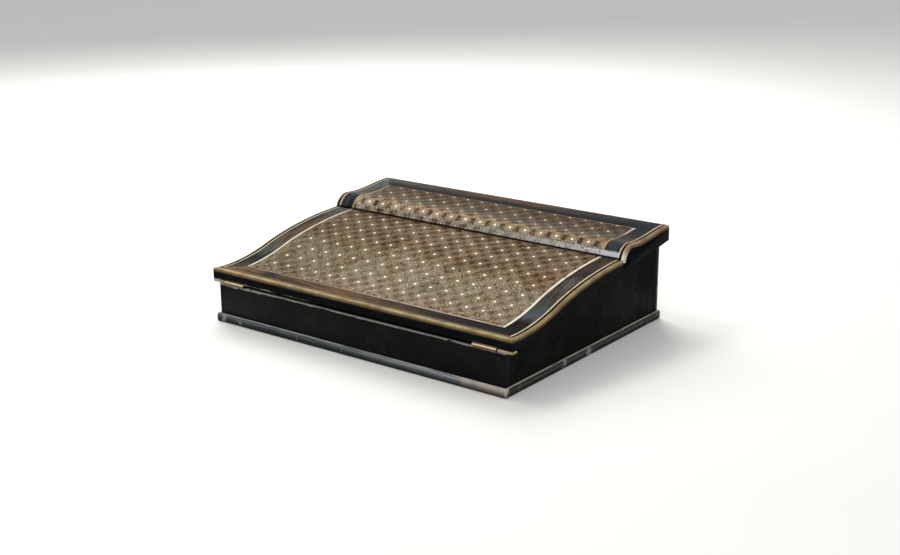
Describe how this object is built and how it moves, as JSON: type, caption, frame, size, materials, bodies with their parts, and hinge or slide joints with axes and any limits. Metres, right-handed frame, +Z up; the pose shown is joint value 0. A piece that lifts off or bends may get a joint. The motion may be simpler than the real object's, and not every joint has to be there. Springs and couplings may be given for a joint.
{
  "type": "writing box",
  "caption": "Slope-front writing box with an inlaid ogee top: a front flap opens forward as a writing surface and a rear lid opens back over pens and ink.",
  "frame": {"origin": "middle of the base, on the surface that the box stands on", "axes": "+Z up, +Y from the front towards the back, +X to the right seen from the front"},
  "size_m": [0.45, 0.3386, 0.12],
  "materials": {
    "ebonised_wood": "black lacquered wood, satin, worn at the arrises",
    "plain_wood": "waxed brown wood of the interior",
    "mosaic": "inlaid geometric mosaic of wood, bone and brass, varnished",
    "dark_veneer": "polished dark veneer",
    "brown_veneer": "varnished streaked brown veneer",
    "bone": "polished aged bone",
    "brass": "aged brass",
    "brass_bead": "tarnished brass moulding",
    "leather": "worn dark red leather with a tooled line",
    "glass": "pressed clear glass"
  },
  "bodies": {
    "case": {"bottom_board": "plain_wood", "front_wall": "ebonised_wood", "rear_wall": "ebonised_wood", "left_wall": "ebonised_wood", "right_wall": "ebonised_wood", "front_plinth": "ebonised_wood", "left_plinth": "ebonised_wood", "right_plinth": "ebonised_wood", "bearer": "ebonised_wood", "ink_divider_left": "plain_wood", "ink_divider_right": "plain_wood", "inkwell_left": "glass", "inkwell_right": "glass", "flap_hinge_case_leaf_left": "brass", "flap_hinge_case_leaf_right": "brass", "flap_hinge_pin_left": "brass", "flap_hinge_pin_right": "brass", "case_screw_left_1": "brass", "case_screw_left_2": "brass", "case_screw_right_1": "brass", "case_screw_right_2": "brass", "lid_hinge_case_leaf_left": "brass", "lid_hinge_case_leaf_right": "brass", "lid_hinge_pin_left": "brass", "lid_hinge_pin_right": "brass"},
    "flap": {"flap_board": "ebonised_wood", "flap_mosaic": "mosaic", "flap_border_front": "brown_veneer", "flap_border_left": "dark_veneer", "flap_border_right": "dark_veneer", "flap_inner_line": "bone", "flap_outer_line": "bone", "flap_bead_front": "brass_bead", "flap_bead_left": "brass_bead", "flap_bead_right": "brass_bead", "flap_strip_left": "bone", "flap_strip_right": "bone", "flap_lining": "leather", "flap_hinge_flap_leaf_left": "brass", "flap_hinge_flap_leaf_right": "brass", "flap_screw_left_1": "brass", "flap_screw_left_2": "brass", "flap_screw_right_1": "brass", "flap_screw_right_2": "brass"},
    "rear_lid": {"lid_board": "ebonised_wood", "lid_mosaic": "mosaic", "lid_border_rear": "brown_veneer", "lid_border_left": "dark_veneer", "lid_border_right": "dark_veneer", "lid_inner_line": "bone", "lid_outer_line": "bone", "lid_bead_left": "brass_bead", "lid_bead_right": "brass_bead", "lid_hinge_lid_leaf_left": "brass", "lid_hinge_lid_leaf_right": "brass"},
    "tray": {"pen_tray": "plain_wood"},
    "left_cap": {"inkwell_cap_left": "brass"},
    "right_cap": {"inkwell_cap_right": "brass"}
  },
  "joints": [
    {"name": "flap_hinge", "type": "hinge", "parent": "case", "child": "flap", "pos_m": [0, -0.1667, 0.0518], "axis": [1, 0, 0], "range_deg": [0, 179]},
    {"name": "rear_lid_hinge", "type": "hinge", "parent": "case", "child": "rear_lid", "pos_m": [0, 0.1643, 0.09759], "axis": [-1, 0, 0], "range_deg": [0, 118]},
    {"name": "pen_tray_lift", "type": "slide", "parent": "case", "child": "tray", "axis": [0, 0, 1], "range_m": [0, 0.024]},
    {"name": "left_cap_lift", "type": "slide", "parent": "case", "child": "left_cap", "axis": [0, 0, 1], "range_m": [0, 0.022]},
    {"name": "right_cap_lift", "type": "slide", "parent": "case", "child": "right_cap", "axis": [0, 0, 1], "range_m": [0, 0.022]}
  ]
}
